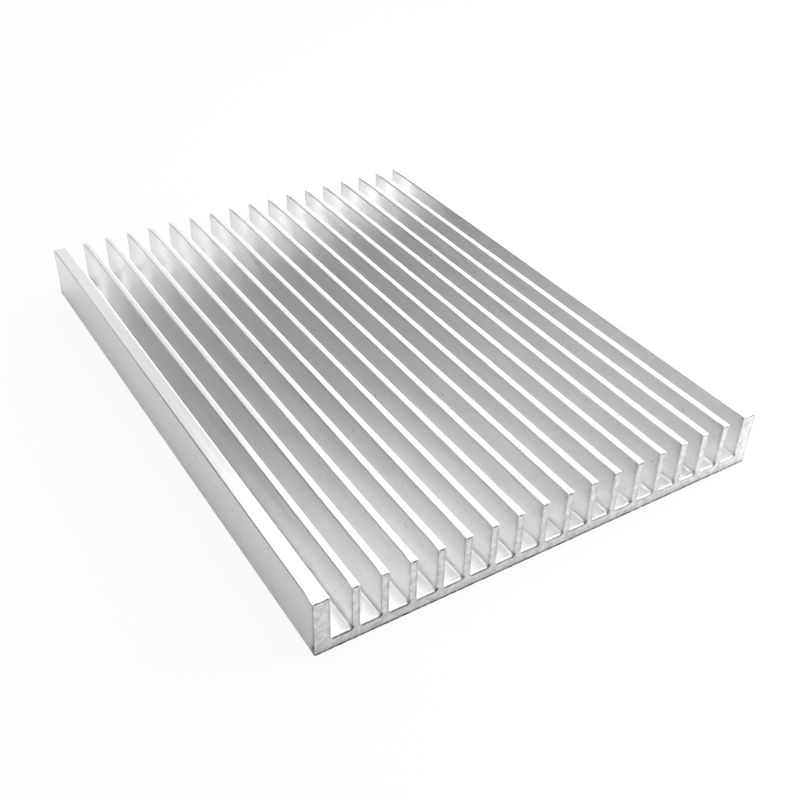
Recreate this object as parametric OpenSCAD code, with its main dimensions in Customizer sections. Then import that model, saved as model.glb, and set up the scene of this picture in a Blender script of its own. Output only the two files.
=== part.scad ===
// Extruded aluminium heat sink: one solid, a flat base plate with straight fins along its whole length.
// The section lies in X and Z and is extruded along Y, as the profile leaves the die.
// Origin: middle of the flat underside. +X runs across the fins, +Y along them, +Z up. Millimetres.

/* [Body] */
// Overall width, across the fins
body_w = 90; // [60:1:150]
// Length of the sawn piece, along the fins
body_l = 120; // [20:1:300]
// Overall height, from the underside to the fin tips
body_h = 11.2; // [6:0.1:30]
// Thickness of the base plate under the channels
base_t = 2.5; // [1:0.1:5]

/* [Fins] */
// Number of fins, counting the two outer ones
fin_count = 18; // [4:1:24]
// Thickness of each inner fin
inner_fin_t = 1.4; // [0.9:0.1:2.2]
// Thickness of the two outer fins
outer_fin_t = 2.9; // [1:0.1:6]

/* [Edges] */
// Fillet radius where the side of a fin meets the channel floor
root_r = 0.3; // [0.2:0.05:1]
// Radius along the two long edges of every fin tip
tip_r = 0.3; // [0.1:0.05:0.4]
// Radius along the two long edges of the underside
foot_r = 0.3; // [0.1:0.05:0.9]

/* [Hidden] */
$fn = 48;

// The channels share out the width that the fins leave.
last_fin = fin_count - 1;
inner_fin_count = fin_count - 2;
channel_w = (body_w - 2 * outer_fin_t - inner_fin_count * inner_fin_t) / last_fin;
pitch = inner_fin_t + channel_w;

// Fin i is counted from the left, from 0 to last_fin.
function fin_t(i) = i == 0 || i == last_fin ? outer_fin_t : inner_fin_t;
function fin_left(i) = -body_w / 2 + (i == 0 ? 0 : outer_fin_t + channel_w + (i - 1) * pitch);
function fin_right(i) = fin_left(i) + fin_t(i);

// The sliver between a square corner at the origin and the arc of radius r that rounds it.
// The corner opens towards dir_x and dir_z, each 1 or -1.
module corner(r, dir_x, dir_z) {
    scale_x = dir_x > 0 ? 0 : 1;
    scale_z = dir_z > 0 ? 0 : 1;
    mirror([scale_x, 0])
        mirror([0, scale_z])
            difference() {
                square(r);
                translate([r, r]) circle(r);
            }
}

module base_outline() {
    translate([-body_w / 2, 0]) square([body_w, base_t]);
}

module fin_outline(i) {
    translate([fin_left(i), 0]) square([fin_t(i), body_h]);
}

// Fillets on both sides of the channel to the right of fin i
module root_fillets(i) {
    translate([fin_right(i), base_t]) corner(root_r, 1, 1);
    translate([fin_left(i + 1), base_t]) corner(root_r, -1, 1);
}

module tip_rounds(i) {
    translate([fin_left(i), body_h]) corner(tip_r, 1, -1);
    translate([fin_right(i), body_h]) corner(tip_r, -1, -1);
}

module foot_rounds() {
    translate([-body_w / 2, 0]) corner(foot_r, 1, 1);
    translate([body_w / 2, 0]) corner(foot_r, -1, 1);
}

// The whole cross-section, with X across and Y up
module section() {
    difference() {
        union() {
            base_outline();
            for (i = [0:last_fin]) fin_outline(i);
            for (i = [0:last_fin - 1]) root_fillets(i);
        }
        for (i = [0:last_fin]) tip_rounds(i);
        foot_rounds();
    }
}

// The section pushed through its length and sawn square at both ends
module heat_sink() {
    color("silver")
        rotate([90, 0, 0])
            linear_extrude(height = body_l, center = true) section();
}

heat_sink();
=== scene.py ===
"""Looks of the extruded heat sink: the sawn extrusion with its burred ends, the studio and the camera.

Everything is in metres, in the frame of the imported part: +X across the fins, +Y along them, +Z up.
The section repeats the part's own sizes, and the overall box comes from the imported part.
"""
import math

import bpy
import numpy as np
from mathutils import Matrix, Vector, noise
from mathutils.geometry import delaunay_2d_cdt


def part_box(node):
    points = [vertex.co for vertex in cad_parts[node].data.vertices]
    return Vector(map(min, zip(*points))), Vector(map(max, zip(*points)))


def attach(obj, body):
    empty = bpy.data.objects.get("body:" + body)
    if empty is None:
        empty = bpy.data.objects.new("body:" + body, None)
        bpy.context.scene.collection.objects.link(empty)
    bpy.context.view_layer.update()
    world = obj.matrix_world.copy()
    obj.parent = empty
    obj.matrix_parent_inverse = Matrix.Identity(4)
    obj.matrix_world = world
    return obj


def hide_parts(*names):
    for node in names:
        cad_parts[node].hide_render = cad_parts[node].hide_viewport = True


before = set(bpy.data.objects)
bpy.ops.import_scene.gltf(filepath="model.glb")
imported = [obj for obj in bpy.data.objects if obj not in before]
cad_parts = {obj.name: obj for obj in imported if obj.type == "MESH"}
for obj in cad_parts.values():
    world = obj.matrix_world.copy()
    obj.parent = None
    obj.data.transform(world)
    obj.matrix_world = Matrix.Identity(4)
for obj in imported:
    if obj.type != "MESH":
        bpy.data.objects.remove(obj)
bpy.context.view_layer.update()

MM = 0.001
NODE = "heat_sink"
LOW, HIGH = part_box(NODE)
LEFT, RIGHT = LOW.x, HIGH.x
FRONT, REAR = LOW.y, HIGH.y
BOTTOM, TOP = LOW.z, HIGH.z

# The section
FIN_COUNT = 18
LAST_FIN = FIN_COUNT - 1
INNER_FIN = 1.4 * MM
OUTER_FIN = 2.9 * MM
BASE = 2.5 * MM
ROOT_RADIUS = 0.3 * MM
TIP_RADIUS = 0.3 * MM
FOOT_RADIUS = 0.3 * MM
CHANNEL = (RIGHT - LEFT - 2 * OUTER_FIN - (FIN_COUNT - 2) * INNER_FIN) / LAST_FIN
PITCH = INNER_FIN + CHANNEL

# How finely the outline is divided
SIDE_STEP = 0.5 * MM
FLOOR_STEP = 0.25 * MM
TIP_STEP = 0.2 * MM
GUARD = 0.03 * MM
ARC_STEPS = 4
LEAST_RADIUS = 0.02 * MM

# The sawn ends: how far the face lies behind the highest burr, and the depth of the groove beside the burr
SAWN_DEPTH = 0.06 * MM
GROOVE = 0.05 * MM
# How far from the cut the sides still follow the ragged edge
RAGGED_REACH = 0.5 * MM
# The radius of the left tip edges at the cut, how far from it they are sharper, and how much that varies
CUT_RADIUS = 0.05 * MM
FLARE = 3.0 * MM
FLARE_SPREAD = 0.35
# The saw rolls the edge of the channel floors and, less, of the fin tips
FLOOR_ROLL = 0.18 * MM
TIP_ROLL = 0.08 * MM
# How far from either cut the body has its rings, close together where its shape changes fast
END_RINGS = [
    distance * MM
    for distance in (0.02, 0.05, 0.09, 0.14, 0.2, 0.3, 0.5, 0.8, 1.2, 1.7, 2.3, 3.0, 4.0, 6.0)
]
# How many rings the body has between those
MIDDLE_RINGS = 8
# The end face's rings: how far in from the outline, and how deep the groove beside the burr is there
FACE_RINGS = [
    (0.00 * MM, 0.0),
    (0.03 * MM, 0.3),
    (0.09 * MM, 1.0),
    (0.17 * MM, 1.0),
    (0.25 * MM, 0.7),
    (0.36 * MM, 0.4),
    (0.46 * MM, 0.0),
]
# How many of these rings the burr lifts, from the edge inwards
BURR_RINGS = 2
# The burr's raggedness: its middle, then a fine and a coarse variation and how fast each changes
BURR_MIDDLE = 0.65
BURR_FINE = 1.17
BURR_FINE_SCALE = 1.9
BURR_COARSE = 0.65
BURR_COARSE_SCALE = 0.55
# How far apart the noise is read for the two ends, and for each fin, so that no two are alike
BURR_END_STEP = 7.3
FLARE_END_STEP = 9.1
FLARE_FIN_STEP = 1.7
FLARE_OFFSET = 0.5

# Faces that meet at more than this many degrees meet in a sharp edge
SHARP_ANGLE = 32
# Shorter lengths, in metres, count as none
TINY = 1e-9
# Points closer than this, in millimetres, are one point when an end is filled
SAME_POINT = 1e-7
# The places of the two materials on the mesh
MILL_SLOT = 0
SAWN_SLOT = 1
# The mesh attribute that holds how dark the painted shade is at each point: in the creases of the sawn ends
# and on the skin near the cuts
PAINTED_SHADE = "painted_shade"


# ---------------------------------------------------------------- section

def fin_width(fin):
    return OUTER_FIN if fin in (0, LAST_FIN) else INNER_FIN


def fin_left(fin):
    if fin == 0:
        return LEFT
    return LEFT + OUTER_FIN + CHANNEL + (fin - 1) * PITCH


def fin_right(fin):
    return fin_left(fin) + fin_width(fin)


def arc(x, z, radius, start, end):
    """Points along an arc round x, z from one angle to another, both in degrees."""
    angles = np.radians(np.linspace(start, end, ARC_STEPS + 1))
    return [(x + radius * math.cos(a), z + radius * math.sin(a)) for a in angles]


def straight(start, end, parts):
    """Points between two arc ends. A guard point close to each end keeps the flat shading flat."""
    start, end = Vector(start), Vector(end)
    guard = GUARD / (end - start).length
    shares = [guard] + [k / parts for k in range(1, parts)] + [1 - guard]
    return [tuple(start.lerp(end, share)) for share in shares]


def parts_of(length, step):
    return max(2, round(length / step))


def outline(inset, left_tips):
    """The closed outline of the section, moved into the metal by inset, clockwise as seen from the front.

    The radius of each fin's left tip edge is in left_tips. Returns a list of (x, z, kind). The number of
    points never changes, so that rings of them join up.
    """
    found = []

    def add(kind, points):
        found.extend((x, z, kind) for x, z in points)

    top = TOP - inset
    bottom = BOTTOM + inset
    foot = max(FOOT_RADIUS - inset, LEAST_RADIUS)
    right_tip = max(TIP_RADIUS - inset, LEAST_RADIUS)
    root = ROOT_RADIUS + inset
    root_z = BASE + ROOT_RADIUS
    wall_parts = parts_of(TOP - BASE, SIDE_STEP)
    outer_parts = parts_of(TOP - BOTTOM, SIDE_STEP)
    for fin in range(FIN_COUNT):
        left = fin_left(fin) + inset
        right = fin_right(fin) - inset
        left_tip = max(left_tips[fin] - inset, LEAST_RADIUS)
        if fin == 0:
            add("foot", arc(left + foot, bottom + foot, foot, 270, 180))
            add("left", straight((left, bottom + foot), (left, top - left_tip), outer_parts))
        else:
            add("left root", arc(fin_left(fin) - ROOT_RADIUS, root_z, root, -90, 0))
            add("left", straight((left, root_z), (left, top - left_tip), wall_parts))
        add("left tip", arc(left + left_tip, top - left_tip, left_tip, 180, 90))
        tip_parts = parts_of(fin_width(fin), TIP_STEP)
        add("top", straight((left + left_tip, top), (right - right_tip, top), tip_parts))
        add("right tip", arc(right - right_tip, top - right_tip, right_tip, 90, 0))
        if fin == LAST_FIN:
            add("right", straight((right, top - right_tip), (right, bottom + foot), outer_parts))
            add("foot", arc(right - foot, bottom + foot, foot, 0, -90))
        else:
            add("right", straight((right, top - right_tip), (right, root_z), wall_parts))
            add("right root", arc(fin_right(fin) + ROOT_RADIUS, root_z, root, 180, 270))
            floor_start = (fin_right(fin) + ROOT_RADIUS, BASE - inset)
            floor_end = (fin_left(fin + 1) - ROOT_RADIUS, BASE - inset)
            add("floor", straight(floor_start, floor_end, parts_of(CHANNEL, FLOOR_STEP)))
    under_parts = parts_of(RIGHT - LEFT, SIDE_STEP)
    add("under", straight((RIGHT - inset - foot, bottom), (LEFT + inset + foot, bottom), under_parts))
    return found


def smooth_share(value):
    """The value held between 0 and 1, with a soft start and a soft stop."""
    value = min(max(value, 0.0), 1.0)
    return value * value * (3 - 2 * value)


def left_tip_radii(distance, end):
    """The radius of each fin's left tip edge at a distance from an end: the saw cut leaves it sharper."""
    radii = []
    for fin in range(FIN_COUNT):
        place = Vector((fin * FLARE_FIN_STEP, end * FLARE_END_STEP, FLARE_OFFSET))
        flare = FLARE * (1 + FLARE_SPREAD * noise.noise(place))
        radii.append(CUT_RADIUS + (TIP_RADIUS - CUT_RADIUS) * smooth_share(distance / flare))
    return radii


# ---------------------------------------------------------------- sawn ends

# How much of a burr the saw leaves on each part of the outline
BURR = {
    "top": 1.0, "left tip": 1.0, "right tip": 0.6, "left": 0.45, "right": 0.3,
    "left root": 0.9, "right root": 0.4, "floor": 0.9, "foot": 0.8, "under": 0.9,
}
# How dark the painted shade on the end face is on each of its rings, on each part of the outline
WIDE_CREASE = (0.2, 1.0, 1.0, 1.0, 1.0, 0.9, 0.0)
EDGE_LINE = (1.0, 1.0, 0.7, 0.2, 0.0, 0.0, 0.0)
INNER_LINE = (0.0, 0.0, 0.2, 0.6, 0.7, 0.2, 0.0)
FOOT_LINE = (1.0, 1.0, 1.0, 0.7, 0.2, 0.0, 0.0)
CREASE_SHADES = {
    "top": WIDE_CREASE, "left tip": WIDE_CREASE, "right tip": INNER_LINE,
    "left": EDGE_LINE, "right": INNER_LINE, "left root": WIDE_CREASE, "right root": INNER_LINE,
    "floor": WIDE_CREASE, "foot": FOOT_LINE, "under": FOOT_LINE,
}
# How dark the painted shade in the crease is at its darkest, on each part of the outline; this also sets how
# deep the groove is
DARK = {
    "top": 1.0, "left tip": 1.0, "right tip": 0.5, "left": 0.8, "right": 0.45,
    "left root": 1.0, "right root": 0.35, "floor": 0.9, "foot": 0.9, "under": 1.0,
}
# How much of the painted crease shade is lost from the left side of the piece to the right
FADES = {"top": 0.3, "floor": 0.75, "left root": 0.3, "left": 0.3, "right": 0.4}
# The painted shade on the skin near the cut: how dark it is at the cut, and the distances over which it
# fades
ROOT_SHADE = 0.9
ROOT_SHADE_LENGTH = 0.35 * MM
ROOT_SHADE_HEIGHT = 0.8 * MM
EDGE_SHADE = 0.35
EDGE_SHADE_LENGTH = 0.4 * MM
# Below the fin tips the painted shade grows from the left side of the piece to the right
TIP_SHADE_LEFT = 0.15
TIP_SHADE_RIGHT = 0.40
TIP_SHADE_LENGTH = 2.2 * MM
TIP_SHADE_HEIGHT = 2.0 * MM


def burr_heights(points, end):
    """How far the burr stands out of the sawn face at each outline point, from 0 to 1."""
    heights = []
    for x, z, kind in points:
        place = Vector((x / MM, end * BURR_END_STEP, z / MM))
        fine = BURR_FINE * noise.noise(place * BURR_FINE_SCALE)
        coarse = BURR_COARSE * noise.noise(place * BURR_COARSE_SCALE)
        heights.append(min(max(BURR[kind] * (BURR_MIDDLE + fine + coarse), 0.0), 1.0))
    return heights


def across(x):
    """0 at the left side of the piece and 1 at the right."""
    return (x - LEFT) / (RIGHT - LEFT)


def crease(x, kind, order):
    """How dark the painted shade on the end face is at one place on one of its rings."""
    return CREASE_SHADES[kind][order] * DARK[kind] * (1 - FADES.get(kind, 0.0) * across(x))


def skin_shade(x, z, kind, distance):
    """How dark the painted shade on the skin is near the cut: darkest at the left roots and below the left
    tips.
    """
    if kind not in ("left", "left root", "left tip"):
        return 0.0
    root = ROOT_SHADE * math.exp(-distance / ROOT_SHADE_LENGTH - (z - BASE) / ROOT_SHADE_HEIGHT)
    edge = EDGE_SHADE * math.exp(-distance / EDGE_SHADE_LENGTH)
    tip = TIP_SHADE_LEFT + (TIP_SHADE_RIGHT - TIP_SHADE_LEFT) * across(x)
    tip *= math.exp(-distance / TIP_SHADE_LENGTH - (TOP - z) / TIP_SHADE_HEIGHT)
    return min(root + edge + tip, 1.0)


def ring(inset, distance, end):
    """Outline points at a distance from an end. The end is -1 for the front and 1 for the rear."""
    return outline(inset, left_tip_radii(distance, end))


def upness(points):
    """How far each outline point's side of the section faces up, from 0 to 1."""
    places = np.array([point[:2] for point in points])
    along = np.roll(places, -1, axis=0) - np.roll(places, 1, axis=0)
    length = np.maximum(np.hypot(along[:, 0], along[:, 1]), TINY)
    return np.maximum(along[:, 0] / length, 0.0) ** 2


def rolled(kind, distance):
    """How far an upward-facing edge has been rolled down, at a distance from the cut."""
    radius = TIP_ROLL if kind in ("top", "left tip", "right tip") else FLOOR_ROLL
    inside = max(radius - distance, 0.0)
    return radius - math.sqrt(radius * radius - inside * inside)


def end_rings(end):
    """Rings of the sawn end, from its edge inwards, each with how dark the painted shade at its points is.
    """
    plane = FRONT if end < 0 else REAR
    edge = ring(0.0, 0.0, end)
    heights = burr_heights(edge, end)
    ups = upness(edge)
    rings = []
    for order, (inset, depth) in enumerate(FACE_RINGS):
        points = ring(inset, 0.0, end)
        rows = []
        for (x, z, kind), height, up in zip(points, heights, ups):
            stands = height if order < BURR_RINGS else 0.0
            below = SAWN_DEPTH * (1 - stands) + GROOVE * depth * DARK[kind]
            height_lost = up * rolled(kind, 0.0)
            # Each point carries the painted crease shade of its ring
            rows.append((x, plane - end * below, z - height_lost, crease(x, kind, order)))
        rings.append(rows)
    return rings


def body_rings():
    """Rings of the extruded sides, from the front to the rear, each with how dark the painted shade at its
    points is.
    """
    length = REAR - FRONT
    last = END_RINGS[-1]
    middle = np.linspace(last, length - last, MIDDLE_RINGS + 2)[1:-1]
    places = [*END_RINGS, *middle, *[length - near for near in reversed(END_RINGS)]]
    edges = {end: ring(0.0, 0.0, end) for end in (-1, 1)}
    heights = {end: burr_heights(edges[end], end) for end in (-1, 1)}
    ups = upness(edges[-1])
    rings = []
    for place in places:
        end = -1 if place < length / 2 else 1
        distance = min(place, length - place)
        fade = 1 - smooth_share(distance / RAGGED_REACH)
        points = ring(0.0, distance, end)
        rows = []
        for (x, z, kind), height, up in zip(points, heights[end], ups):
            behind = SAWN_DEPTH * (1 - height) * fade
            height_lost = up * rolled(kind, distance)
            # The painted shade on the skin near the cut
            dark = skin_shade(x, z, kind, distance)
            rows.append((x, FRONT + place - end * behind, z - height_lost, dark))
        rings.append(rows)
    return rings


def filled(loop):
    """Triangles that fill a loop of (x, z), as indices into it, anticlockwise in x and z."""
    count = len(loop)
    scaled = [Vector(point) / MM for point in loop]
    edges = [(k, (k + 1) % count) for k in range(count)]
    _, _, faces, origins, _, _ = delaunay_2d_cdt(scaled, edges, [], 1, SAME_POINT)
    triangles = []
    for face in faces:
        corners = [origins[k][0] for k in face]
        a, b, c = (scaled[k] for k in corners)
        if (b - a).cross(c - a) < 0:
            corners.reverse()
        triangles.append(tuple(corners))
    return triangles


def strips(ring_count, per_ring):
    """The quads that join each ring to the next one, and their material slots."""
    faces = []
    slots = []
    strip_count = ring_count - 1
    end_strips = len(FACE_RINGS) - 1
    for strip in range(strip_count):
        sawn = strip < end_strips or strip >= strip_count - end_strips
        here = strip * per_ring
        there = here + per_ring
        for k in range(per_ring):
            after = (k + 1) % per_ring
            faces.append((here + k, here + after, there + after, there + k))
            slots.append(SAWN_SLOT if sawn else MILL_SLOT)
    return faces, slots


def cap(rows, start, flip):
    """The triangles that fill an end's innermost ring, whose points are numbered from start on."""
    faces = []
    for corners in filled([(row[0], row[2]) for row in rows]):
        corners = [start + k for k in corners]
        faces.append(tuple(reversed(corners)) if flip else tuple(corners))
    return faces


def extrusion():
    """The whole visible piece: sides, burr lips, creases and sawn faces, as one closed mesh."""
    rings = [*reversed(end_rings(-1)), *body_rings(), *end_rings(1)]
    rows = np.array(rings)
    per_ring = rows.shape[1]
    vertices = rows[:, :, :3].reshape(-1, 3)
    dark = rows[:, :, 3].reshape(-1)
    faces, slots = strips(len(rings), per_ring)
    caps = cap(rings[0], 0, False) + cap(rings[-1], (len(rings) - 1) * per_ring, True)
    faces += caps
    slots += [SAWN_SLOT] * len(caps)
    mesh = bpy.data.meshes.new("extrusion")
    mesh.from_pydata(vertices.tolist(), [], faces)
    mesh.polygons.foreach_set("material_index", slots)
    mesh.polygons.foreach_set("use_smooth", [True] * len(faces))
    mesh.attributes.new(PAINTED_SHADE, "FLOAT", "POINT").data.foreach_set("value", dark)
    mesh.update()
    mesh.set_sharp_from_angle(angle=math.radians(SHARP_ANGLE))
    piece = bpy.data.objects.new("aluminium_extrusion", mesh)
    bpy.context.scene.collection.objects.link(piece)
    return piece


# ---------------------------------------------------------------- materials

class Graph:
    """A short way to write a node tree."""

    def __init__(self, tree):
        self.tree = tree

    def link(self, source, target):
        self.tree.links.new(source, target)

    def put(self, socket, value):
        """Links the socket to another one, or gives it a plain value."""
        if isinstance(value, bpy.types.NodeSocket):
            self.link(value, socket)
        else:
            socket.default_value = value

    def place(self, scale):
        """Millimetres in the part's frame, each axis times its own scale."""
        coordinates = self.tree.nodes.new("ShaderNodeTexCoord")
        node = self.tree.nodes.new("ShaderNodeVectorMath")
        node.operation = "MULTIPLY"
        self.link(coordinates.outputs["Object"], node.inputs[0])
        node.inputs[1].default_value = [s / MM for s in scale]
        return node.outputs[0]

    def turned(self, vector, degrees):
        """The vector turned about Y."""
        node = self.tree.nodes.new("ShaderNodeVectorRotate")
        node.rotation_type = "Y_AXIS"
        self.link(vector, node.inputs["Vector"])
        node.inputs["Angle"].default_value = math.radians(degrees)
        return node.outputs[0]

    def noise(self, vector, scale, detail=2.0, roughness=0.5):
        node = self.tree.nodes.new("ShaderNodeTexNoise")
        self.link(vector, node.inputs["Vector"])
        node.inputs["Scale"].default_value = scale
        node.inputs["Detail"].default_value = detail
        node.inputs["Roughness"].default_value = roughness
        return node.outputs["Fac"]

    def cells(self, vector, scale):
        """Distance to the nearest of a field of scattered points."""
        node = self.tree.nodes.new("ShaderNodeTexVoronoi")
        self.link(vector, node.inputs["Vector"])
        node.inputs["Scale"].default_value = scale
        return node.outputs["Distance"]

    def fit(self, value, low, high, to_low=0.0, to_high=1.0):
        """The value taken from one range to another, and held inside it."""
        node = self.tree.nodes.new("ShaderNodeMapRange")
        self.put(node.inputs["Value"], value)
        node.inputs["From Min"].default_value = low
        node.inputs["From Max"].default_value = high
        node.inputs["To Min"].default_value = to_low
        node.inputs["To Max"].default_value = to_high
        return node.outputs[0]

    def math(self, operation, first, second=0.0):
        node = self.tree.nodes.new("ShaderNodeMath")
        node.operation = operation
        self.put(node.inputs[0], first)
        self.put(node.inputs[1], second)
        return node.outputs[0]

    def within(self, value, low, high, blur):
        """1 where the value lies between low and high, fading to 0 over the blur at both ends."""
        rise = self.fit(value, low - blur / 2, low + blur / 2)
        fall = self.fit(value, high - blur / 2, high + blur / 2, 1.0, 0.0)
        return self.math("MULTIPLY", rise, fall)

    def blend(self, share, first, second):
        """One colour turning into another as share goes from 0 to 1."""
        node = self.tree.nodes.new("ShaderNodeMix")
        node.data_type = "RGBA"
        self.put(node.inputs["Factor"], share)
        self.put(node.inputs["A"], first)
        self.put(node.inputs["B"], second)
        return node.outputs["Result"]

    def attribute(self, name):
        node = self.tree.nodes.new("ShaderNodeAttribute")
        node.attribute_name = name
        return node.outputs["Fac"]

    def axis(self, vector, name):
        node = self.tree.nodes.new("ShaderNodeSeparateXYZ")
        self.link(vector, node.inputs[0])
        return node.outputs[name]

    def tangent(self):
        """The direction round the Y axis, across the die lines."""
        node = self.tree.nodes.new("ShaderNodeTangent")
        node.direction_type = "RADIAL"
        node.axis = "Y"
        return node.outputs[0]

    def bump(self, height, depth):
        """A bump whose height of 1 stands depth metres out."""
        node = self.tree.nodes.new("ShaderNodeBump")
        node.inputs["Distance"].default_value = depth
        self.link(height, node.inputs["Height"])
        return node.outputs[0]


class Nodes(Graph):
    """A material and its node tree."""

    def __init__(self, name):
        self.material = bpy.data.materials.new(name)
        self.material.use_nodes = True
        super().__init__(self.material.node_tree)
        self.shader = self.tree.nodes["Principled BSDF"]


def grey(value):
    return (value, value, value, 1.0)


# The extruded skin
SKIN_DULL = grey(0.90)
SKIN_BRIGHT = grey(0.98)
SPECK_GREY = grey(0.35)
SPECK_STRENGTH = 0.6
# The painted shade near the cuts, at the left roots and below the left tips
SKIN_SHADE_GREY = grey(0.08)
DIE_LINE_DEPTH = 0.006 * MM
STREAK_SHARE = 0.6
MOTTLE_SHARE = 0.4
STREAK_HEIGHT = 1.5
SKIN_ANISOTROPY = 0.85
# How little the marks change along the extrusion, against how they change across it
ALONG_LINES = (1, 0.008, 1)
ALONG_STREAKS = (1, 0.02, 1)
ALONG_MOTTLE = (1, 0.7, 1)
ALONG_SPECKS = (1, 0.6, 1)
EVENLY = (1, 1, 1)

# The sawn faces
SAWN_DULL = grey(0.56)
SAWN_BRIGHT = grey(0.88)
PIT_GREY = grey(0.30)
PIT_STRENGTH = 0.5
# The painted shade under the burrs, in the creases beside them and along the foot
CREASE_SHADE_GREY = grey(0.015)
GRAIN_DEPTH = 0.035 * MM
GRAIN_SHARE = 0.45
PATCH_SHARE = 0.55
UNEVEN_HEIGHT = 0.8
UNEVEN_TURN = 14


def mill_finish():
    """The extruded skin: satin, with lengthwise die lines, streaks, a few specks and painted shade near the
    ends.
    """
    n = Nodes("mill_aluminium")
    lines = n.noise(n.place(ALONG_LINES), scale=2.6, detail=3.0, roughness=0.6)
    streaks = n.noise(n.place(ALONG_STREAKS), scale=0.55, detail=2.0)
    mottle = n.noise(n.place(ALONG_MOTTLE), scale=0.9, detail=3.0)
    specks = n.fit(n.noise(n.place(ALONG_SPECKS), scale=1.3, detail=1.0), low=0.74, high=0.80)
    spots = n.noise(n.place(EVENLY), scale=1.4, detail=2.0)
    tone = n.math("ADD", n.math("MULTIPLY", streaks, STREAK_SHARE), n.math("MULTIPLY", mottle, MOTTLE_SHARE))
    skin = n.blend(n.fit(tone, low=0.35, high=0.65), SKIN_DULL, SKIN_BRIGHT)
    skin = n.blend(n.math("MULTIPLY", specks, SPECK_STRENGTH), skin, SPECK_GREY)
    patchy = n.fit(spots, low=0.35, high=0.60, to_low=0.5, to_high=1.0)
    # Painted shade on the skin near the cuts, broken into patches
    skin_shade_share = n.math("MULTIPLY", n.attribute(PAINTED_SHADE), patchy)
    n.link(n.blend(skin_shade_share, skin, SKIN_SHADE_GREY), n.shader.inputs["Base Color"])
    n.link(n.fit(lines, low=0.3, high=0.7, to_low=0.28, to_high=0.38), n.shader.inputs["Roughness"])
    height = n.math("ADD", lines, n.math("MULTIPLY", streaks, STREAK_HEIGHT))
    n.link(n.bump(height, DIE_LINE_DEPTH), n.shader.inputs["Normal"])
    n.shader.inputs["Metallic"].default_value = 1.0
    n.shader.inputs["Anisotropic"].default_value = SKIN_ANISOTROPY
    n.link(n.tangent(), n.shader.inputs["Tangent"])
    return n.material


def sawn_finish():
    """The sawn faces: sandy grain over a coarser unevenness, pits, and painted shade in the creases beside
    the burrs.
    """
    n = Nodes("sawn_aluminium")
    plain = n.place(EVENLY)
    grain = n.noise(plain, scale=4.5, detail=2.0, roughness=0.6)
    uneven = n.noise(n.turned(plain, UNEVEN_TURN), scale=1.0, detail=2.0)
    patches = n.noise(plain, scale=0.8, detail=2.0)
    pits = n.fit(n.cells(plain, scale=1.9), low=0.16, high=0.10)
    tone = n.math("ADD", n.math("MULTIPLY", grain, GRAIN_SHARE), n.math("MULTIPLY", patches, PATCH_SHARE))
    face = n.blend(n.fit(tone, low=0.36, high=0.64), SAWN_DULL, SAWN_BRIGHT)
    face = n.blend(n.math("MULTIPLY", pits, PIT_STRENGTH), face, PIT_GREY)
    broken = n.fit(n.noise(plain, scale=1.6, detail=2.0), low=0.38, high=0.50, to_low=0.45, to_high=1.0)
    # Painted shade in the creases beside the burrs, broken up by noise
    crease_shade_share = n.math("MULTIPLY", n.attribute(PAINTED_SHADE), broken)
    n.link(n.blend(crease_shade_share, face, CREASE_SHADE_GREY), n.shader.inputs["Base Color"])
    n.link(n.fit(grain, low=0.3, high=0.7, to_low=0.46, to_high=0.60), n.shader.inputs["Roughness"])
    height = n.math("ADD", grain, n.math("MULTIPLY", uneven, UNEVEN_HEIGHT))
    n.link(n.bump(height, GRAIN_DEPTH), n.shader.inputs["Normal"])
    n.shader.inputs["Metallic"].default_value = 1.0
    return n.material


# ---------------------------------------------------------------- studio

TABLE_SIZE = 4.0
TABLE_ROUGHNESS = 0.9
# The table's grey under the light, and how much of its own even white the camera sees instead
TABLE_GREY = 0.58
TABLE_GLOW = 0.9
# The room's light comes from soft panels on a far dome. Each has its reach from the front (-1) to the
# back (1), its reach over the sky from the right (0 degrees) to the left (180), and its radiance.
PANELS = {
    "overhead": ((-0.50, 0.35), (25, 140), 2.3),
    "overhead strip to the back": ((0.35, 0.66), (66, 102), 3.7),
    "low on the right": ((0.35, 1.10), (-20, 25), 4.8),
    "back right": ((0.62, 1.10), (25, 75), 0.9),
    "back": ((0.80, 1.10), (75, 200), 0.6),
}
PANEL_BLUR = 0.05
PANEL_BLUR_DEGREES = 6


def table():
    """A table that shows white to the camera and keeps a soft shadow."""
    half = TABLE_SIZE / 2
    mesh = bpy.data.meshes.new("table")
    corners = [(-half, -half, BOTTOM), (half, -half, BOTTOM), (half, half, BOTTOM), (-half, half, BOTTOM)]
    mesh.from_pydata(corners, [], [(0, 1, 2, 3)])
    floor = bpy.data.objects.new("table", mesh)
    bpy.context.scene.collection.objects.link(floor)
    n = Nodes("white_table")
    n.shader.inputs["Base Color"].default_value = grey(TABLE_GREY)
    n.shader.inputs["Roughness"].default_value = TABLE_ROUGHNESS
    n.shader.inputs["Specular IOR Level"].default_value = 0.0
    path = n.tree.nodes.new("ShaderNodeLightPath")
    direct = n.math("MAXIMUM", path.outputs["Is Camera Ray"], path.outputs["Is Transmission Ray"])
    seen = n.math("MULTIPLY", direct, TABLE_GLOW)
    glow = n.tree.nodes.new("ShaderNodeEmission")
    mix = n.tree.nodes.new("ShaderNodeMixShader")
    n.link(seen, mix.inputs["Fac"])
    n.link(n.shader.outputs[0], mix.inputs[1])
    n.link(glow.outputs[0], mix.inputs[2])
    n.link(mix.outputs[0], n.tree.nodes["Material Output"].inputs["Surface"])
    mesh.materials.append(n.material)


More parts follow.
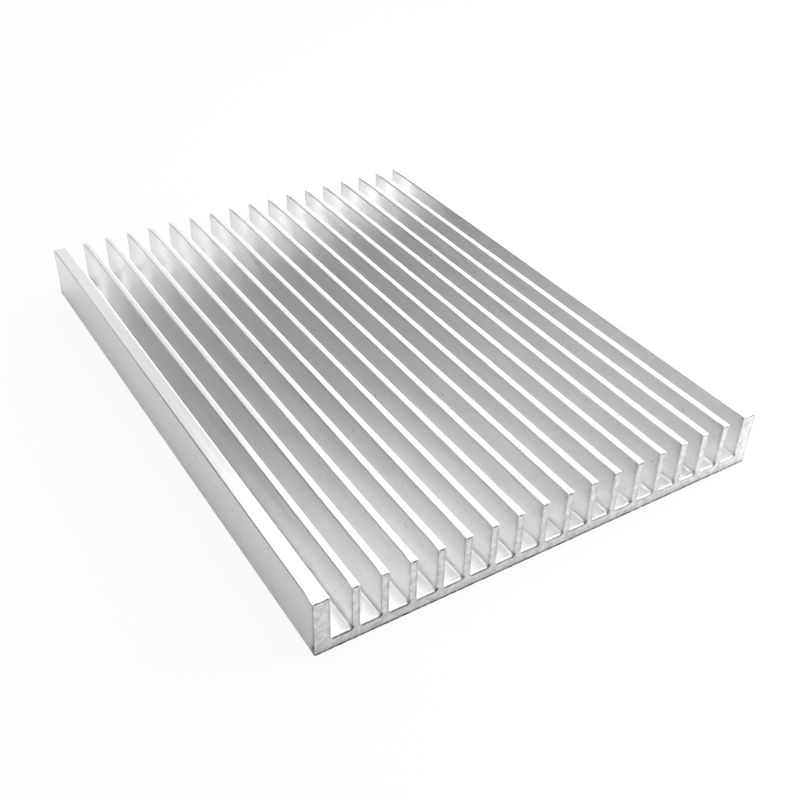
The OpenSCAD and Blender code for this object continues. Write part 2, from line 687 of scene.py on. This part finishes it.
def room():
    """Soft light from the panels, with the rest of the room dark."""
    world = bpy.data.worlds.new("room")
    bpy.context.scene.world = world
    world.use_nodes = True
    n = Graph(world.node_tree)
    direction = n.tree.nodes.new("ShaderNodeTexCoord").outputs["Generated"]
    back = n.axis(direction, "Y")
    turn = n.math("ARCTAN2", n.axis(direction, "Z"), n.axis(direction, "X"))
    over = n.math("DEGREES", turn)
    total = 0.0
    for (front, rear), (right, left), radiance in PANELS.values():
        light = n.within(back, front, rear, PANEL_BLUR)
        light = n.math("MULTIPLY", light, n.within(over, right, left, PANEL_BLUR_DEGREES))
        total = n.math("ADD", n.math("MULTIPLY", light, radiance), total)
    background = n.tree.nodes["Background"]
    background.inputs["Color"].default_value = grey(1.0)
    n.link(total, background.inputs["Strength"])


# Both lamps point at the front right of the piece.
SOFTBOX_TARGET = (0.03, -0.06, 0)


def softbox(name, place, width, height, radiance):
    """A rectangular lamp that shines as a white card of that radiance would."""
    light = bpy.data.lights.new(name, "AREA")
    light.shape = "RECTANGLE"
    light.size, light.size_y = width, height
    light.energy = radiance * math.pi * width * height
    lamp = bpy.data.objects.new(name, light)
    bpy.context.scene.collection.objects.link(lamp)
    lamp.location = place
    lamp.rotation_euler = (Vector(SOFTBOX_TARGET) - Vector(place)).to_track_quat("-Z", "Y").to_euler()


# The camera stands to the front left of the front left foot corner, in metres.
# The azimuth is turned from +Y to the right. All three angles are in degrees.
CAMERA_PLACE = Vector((LEFT, FRONT, BOTTOM)) + Vector((-46.41, -93.08, 124.8)) * MM
CAMERA_AZIMUTH = 32.9
CAMERA_DOWN = 36.6
CAMERA_ROLL = 1.74
LENS = 47.6
SENSOR_WIDTH = 36.0
CLIP_START = 0.01


def camera():
    """The view from above the front left corner."""
    data = bpy.data.cameras.new("camera")
    data.lens = LENS
    data.sensor_width = SENSOR_WIDTH
    data.clip_start = CLIP_START
    eye = bpy.data.objects.new("camera", data)
    bpy.context.scene.collection.objects.link(eye)
    heading = Matrix.Rotation(math.radians(-CAMERA_AZIMUTH), 4, "Z")
    tilt = Matrix.Rotation(math.radians(90 - CAMERA_DOWN), 4, "X")
    roll = Matrix.Rotation(math.radians(CAMERA_ROLL), 4, "Z")
    eye.matrix_world = Matrix.Translation(CAMERA_PLACE) @ heading @ tilt @ roll
    bpy.context.scene.camera = eye


# ---------------------------------------------------------------- scene

camera()
table()
room()
softbox("right_softbox", place=(0.30, -0.08, 0.10), width=0.25, height=0.15, radiance=14.0)
softbox("front_right_softbox", place=(0.16, -0.16, 0.03), width=0.12, height=0.05, radiance=3.0)

sink = extrusion()
sink.data.materials.append(mill_finish())
sink.data.materials.append(sawn_finish())
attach(sink, "root")
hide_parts(NODE)

bpy.context.scene.view_settings.view_transform = "Standard"
bpy.context.view_layer.update()
